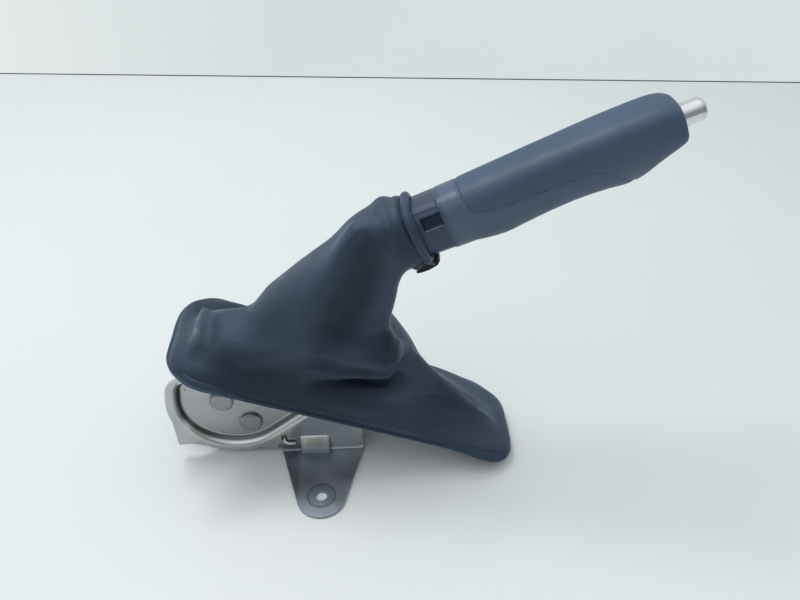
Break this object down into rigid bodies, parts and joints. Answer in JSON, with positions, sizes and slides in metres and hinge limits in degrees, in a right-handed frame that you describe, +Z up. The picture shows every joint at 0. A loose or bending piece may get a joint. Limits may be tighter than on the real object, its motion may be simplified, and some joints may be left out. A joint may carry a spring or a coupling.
{
  "type": "parking brake lever",
  "caption": "Car parking brake lever with a push-button grip, leatherette gaiter, ratchet and pawl, and pressed steel side plates with bolt-down feet.",
  "frame": {"origin": "midway between the two foot bolt holes, on the floor face of the feet", "axes": "+X from the pivot towards the push button, +Y away from the near foot, +Z up from the mounting floor"},
  "size_m": [0.3416, 0.155, 0.267],
  "materials": {
    "zinc_steel": "satin",
    "dark_steel": "satin",
    "spring_steel": "satin",
    "leather": "matte",
    "grip_plastic": "matte",
    "black_plastic": "matte",
    "bush_plastic": "matte",
    "chrome": "polished"
  },
  "bodies": {
    "bracket": {"near_side_plate": "zinc_steel", "far_side_plate": "zinc_steel", "ratchet_sector": "dark_steel", "sector_spacers": "zinc_steel", "sector_rivets": "zinc_steel", "pivot_pin": "zinc_steel", "lever_return_spring": "spring_steel", "boot": "leather", "boot_hem": "leather"},
    "lever": {"lever_arm": "dark_steel", "lever_tube": "dark_steel", "pivot_bushes": "bush_plastic", "pawl_pin": "zinc_steel", "cable_pin": "zinc_steel", "pawl_spring": "spring_steel", "grip_sleeve": "grip_plastic", "grip_cover": "grip_plastic", "grip_insert": "grip_plastic", "button_bush": "black_plastic", "button_spring": "spring_steel", "neck_ring": "leather", "neck_clip": "black_plastic"},
    "pawl_body": {"pawl": "dark_steel"},
    "button_body": {"button": "chrome", "push_rod": "spring_steel"}
  },
  "joints": [
    {"name": "lever_pivot", "type": "hinge", "parent": "bracket", "child": "lever", "pos_m": [-0.07, 0, 0.051], "axis": [0, -1, 0], "range_deg": [0, 30], "deforming": ["boot", "lever_return_spring"]},
    {"name": "button_slide", "type": "slide", "parent": "lever", "child": "button_body", "axis": [-0.9157, 0, -0.402], "range_m": [0, 0.005], "stiffness_N_per_m": 500, "springref_m": -0.012, "deforming": ["button_spring"]},
    {"name": "pawl_pivot", "type": "hinge", "parent": "lever", "child": "pawl_body", "pos_m": [-0.04151, 0, 0.09842], "axis": [0, 1, 0], "range_deg": [0, 27.2], "deforming": ["pawl_spring"]}
  ],
  "couplings": [
    {"joint": "pawl_pivot", "follows": "button_slide", "rad_per_m": 94.2}
  ]
}
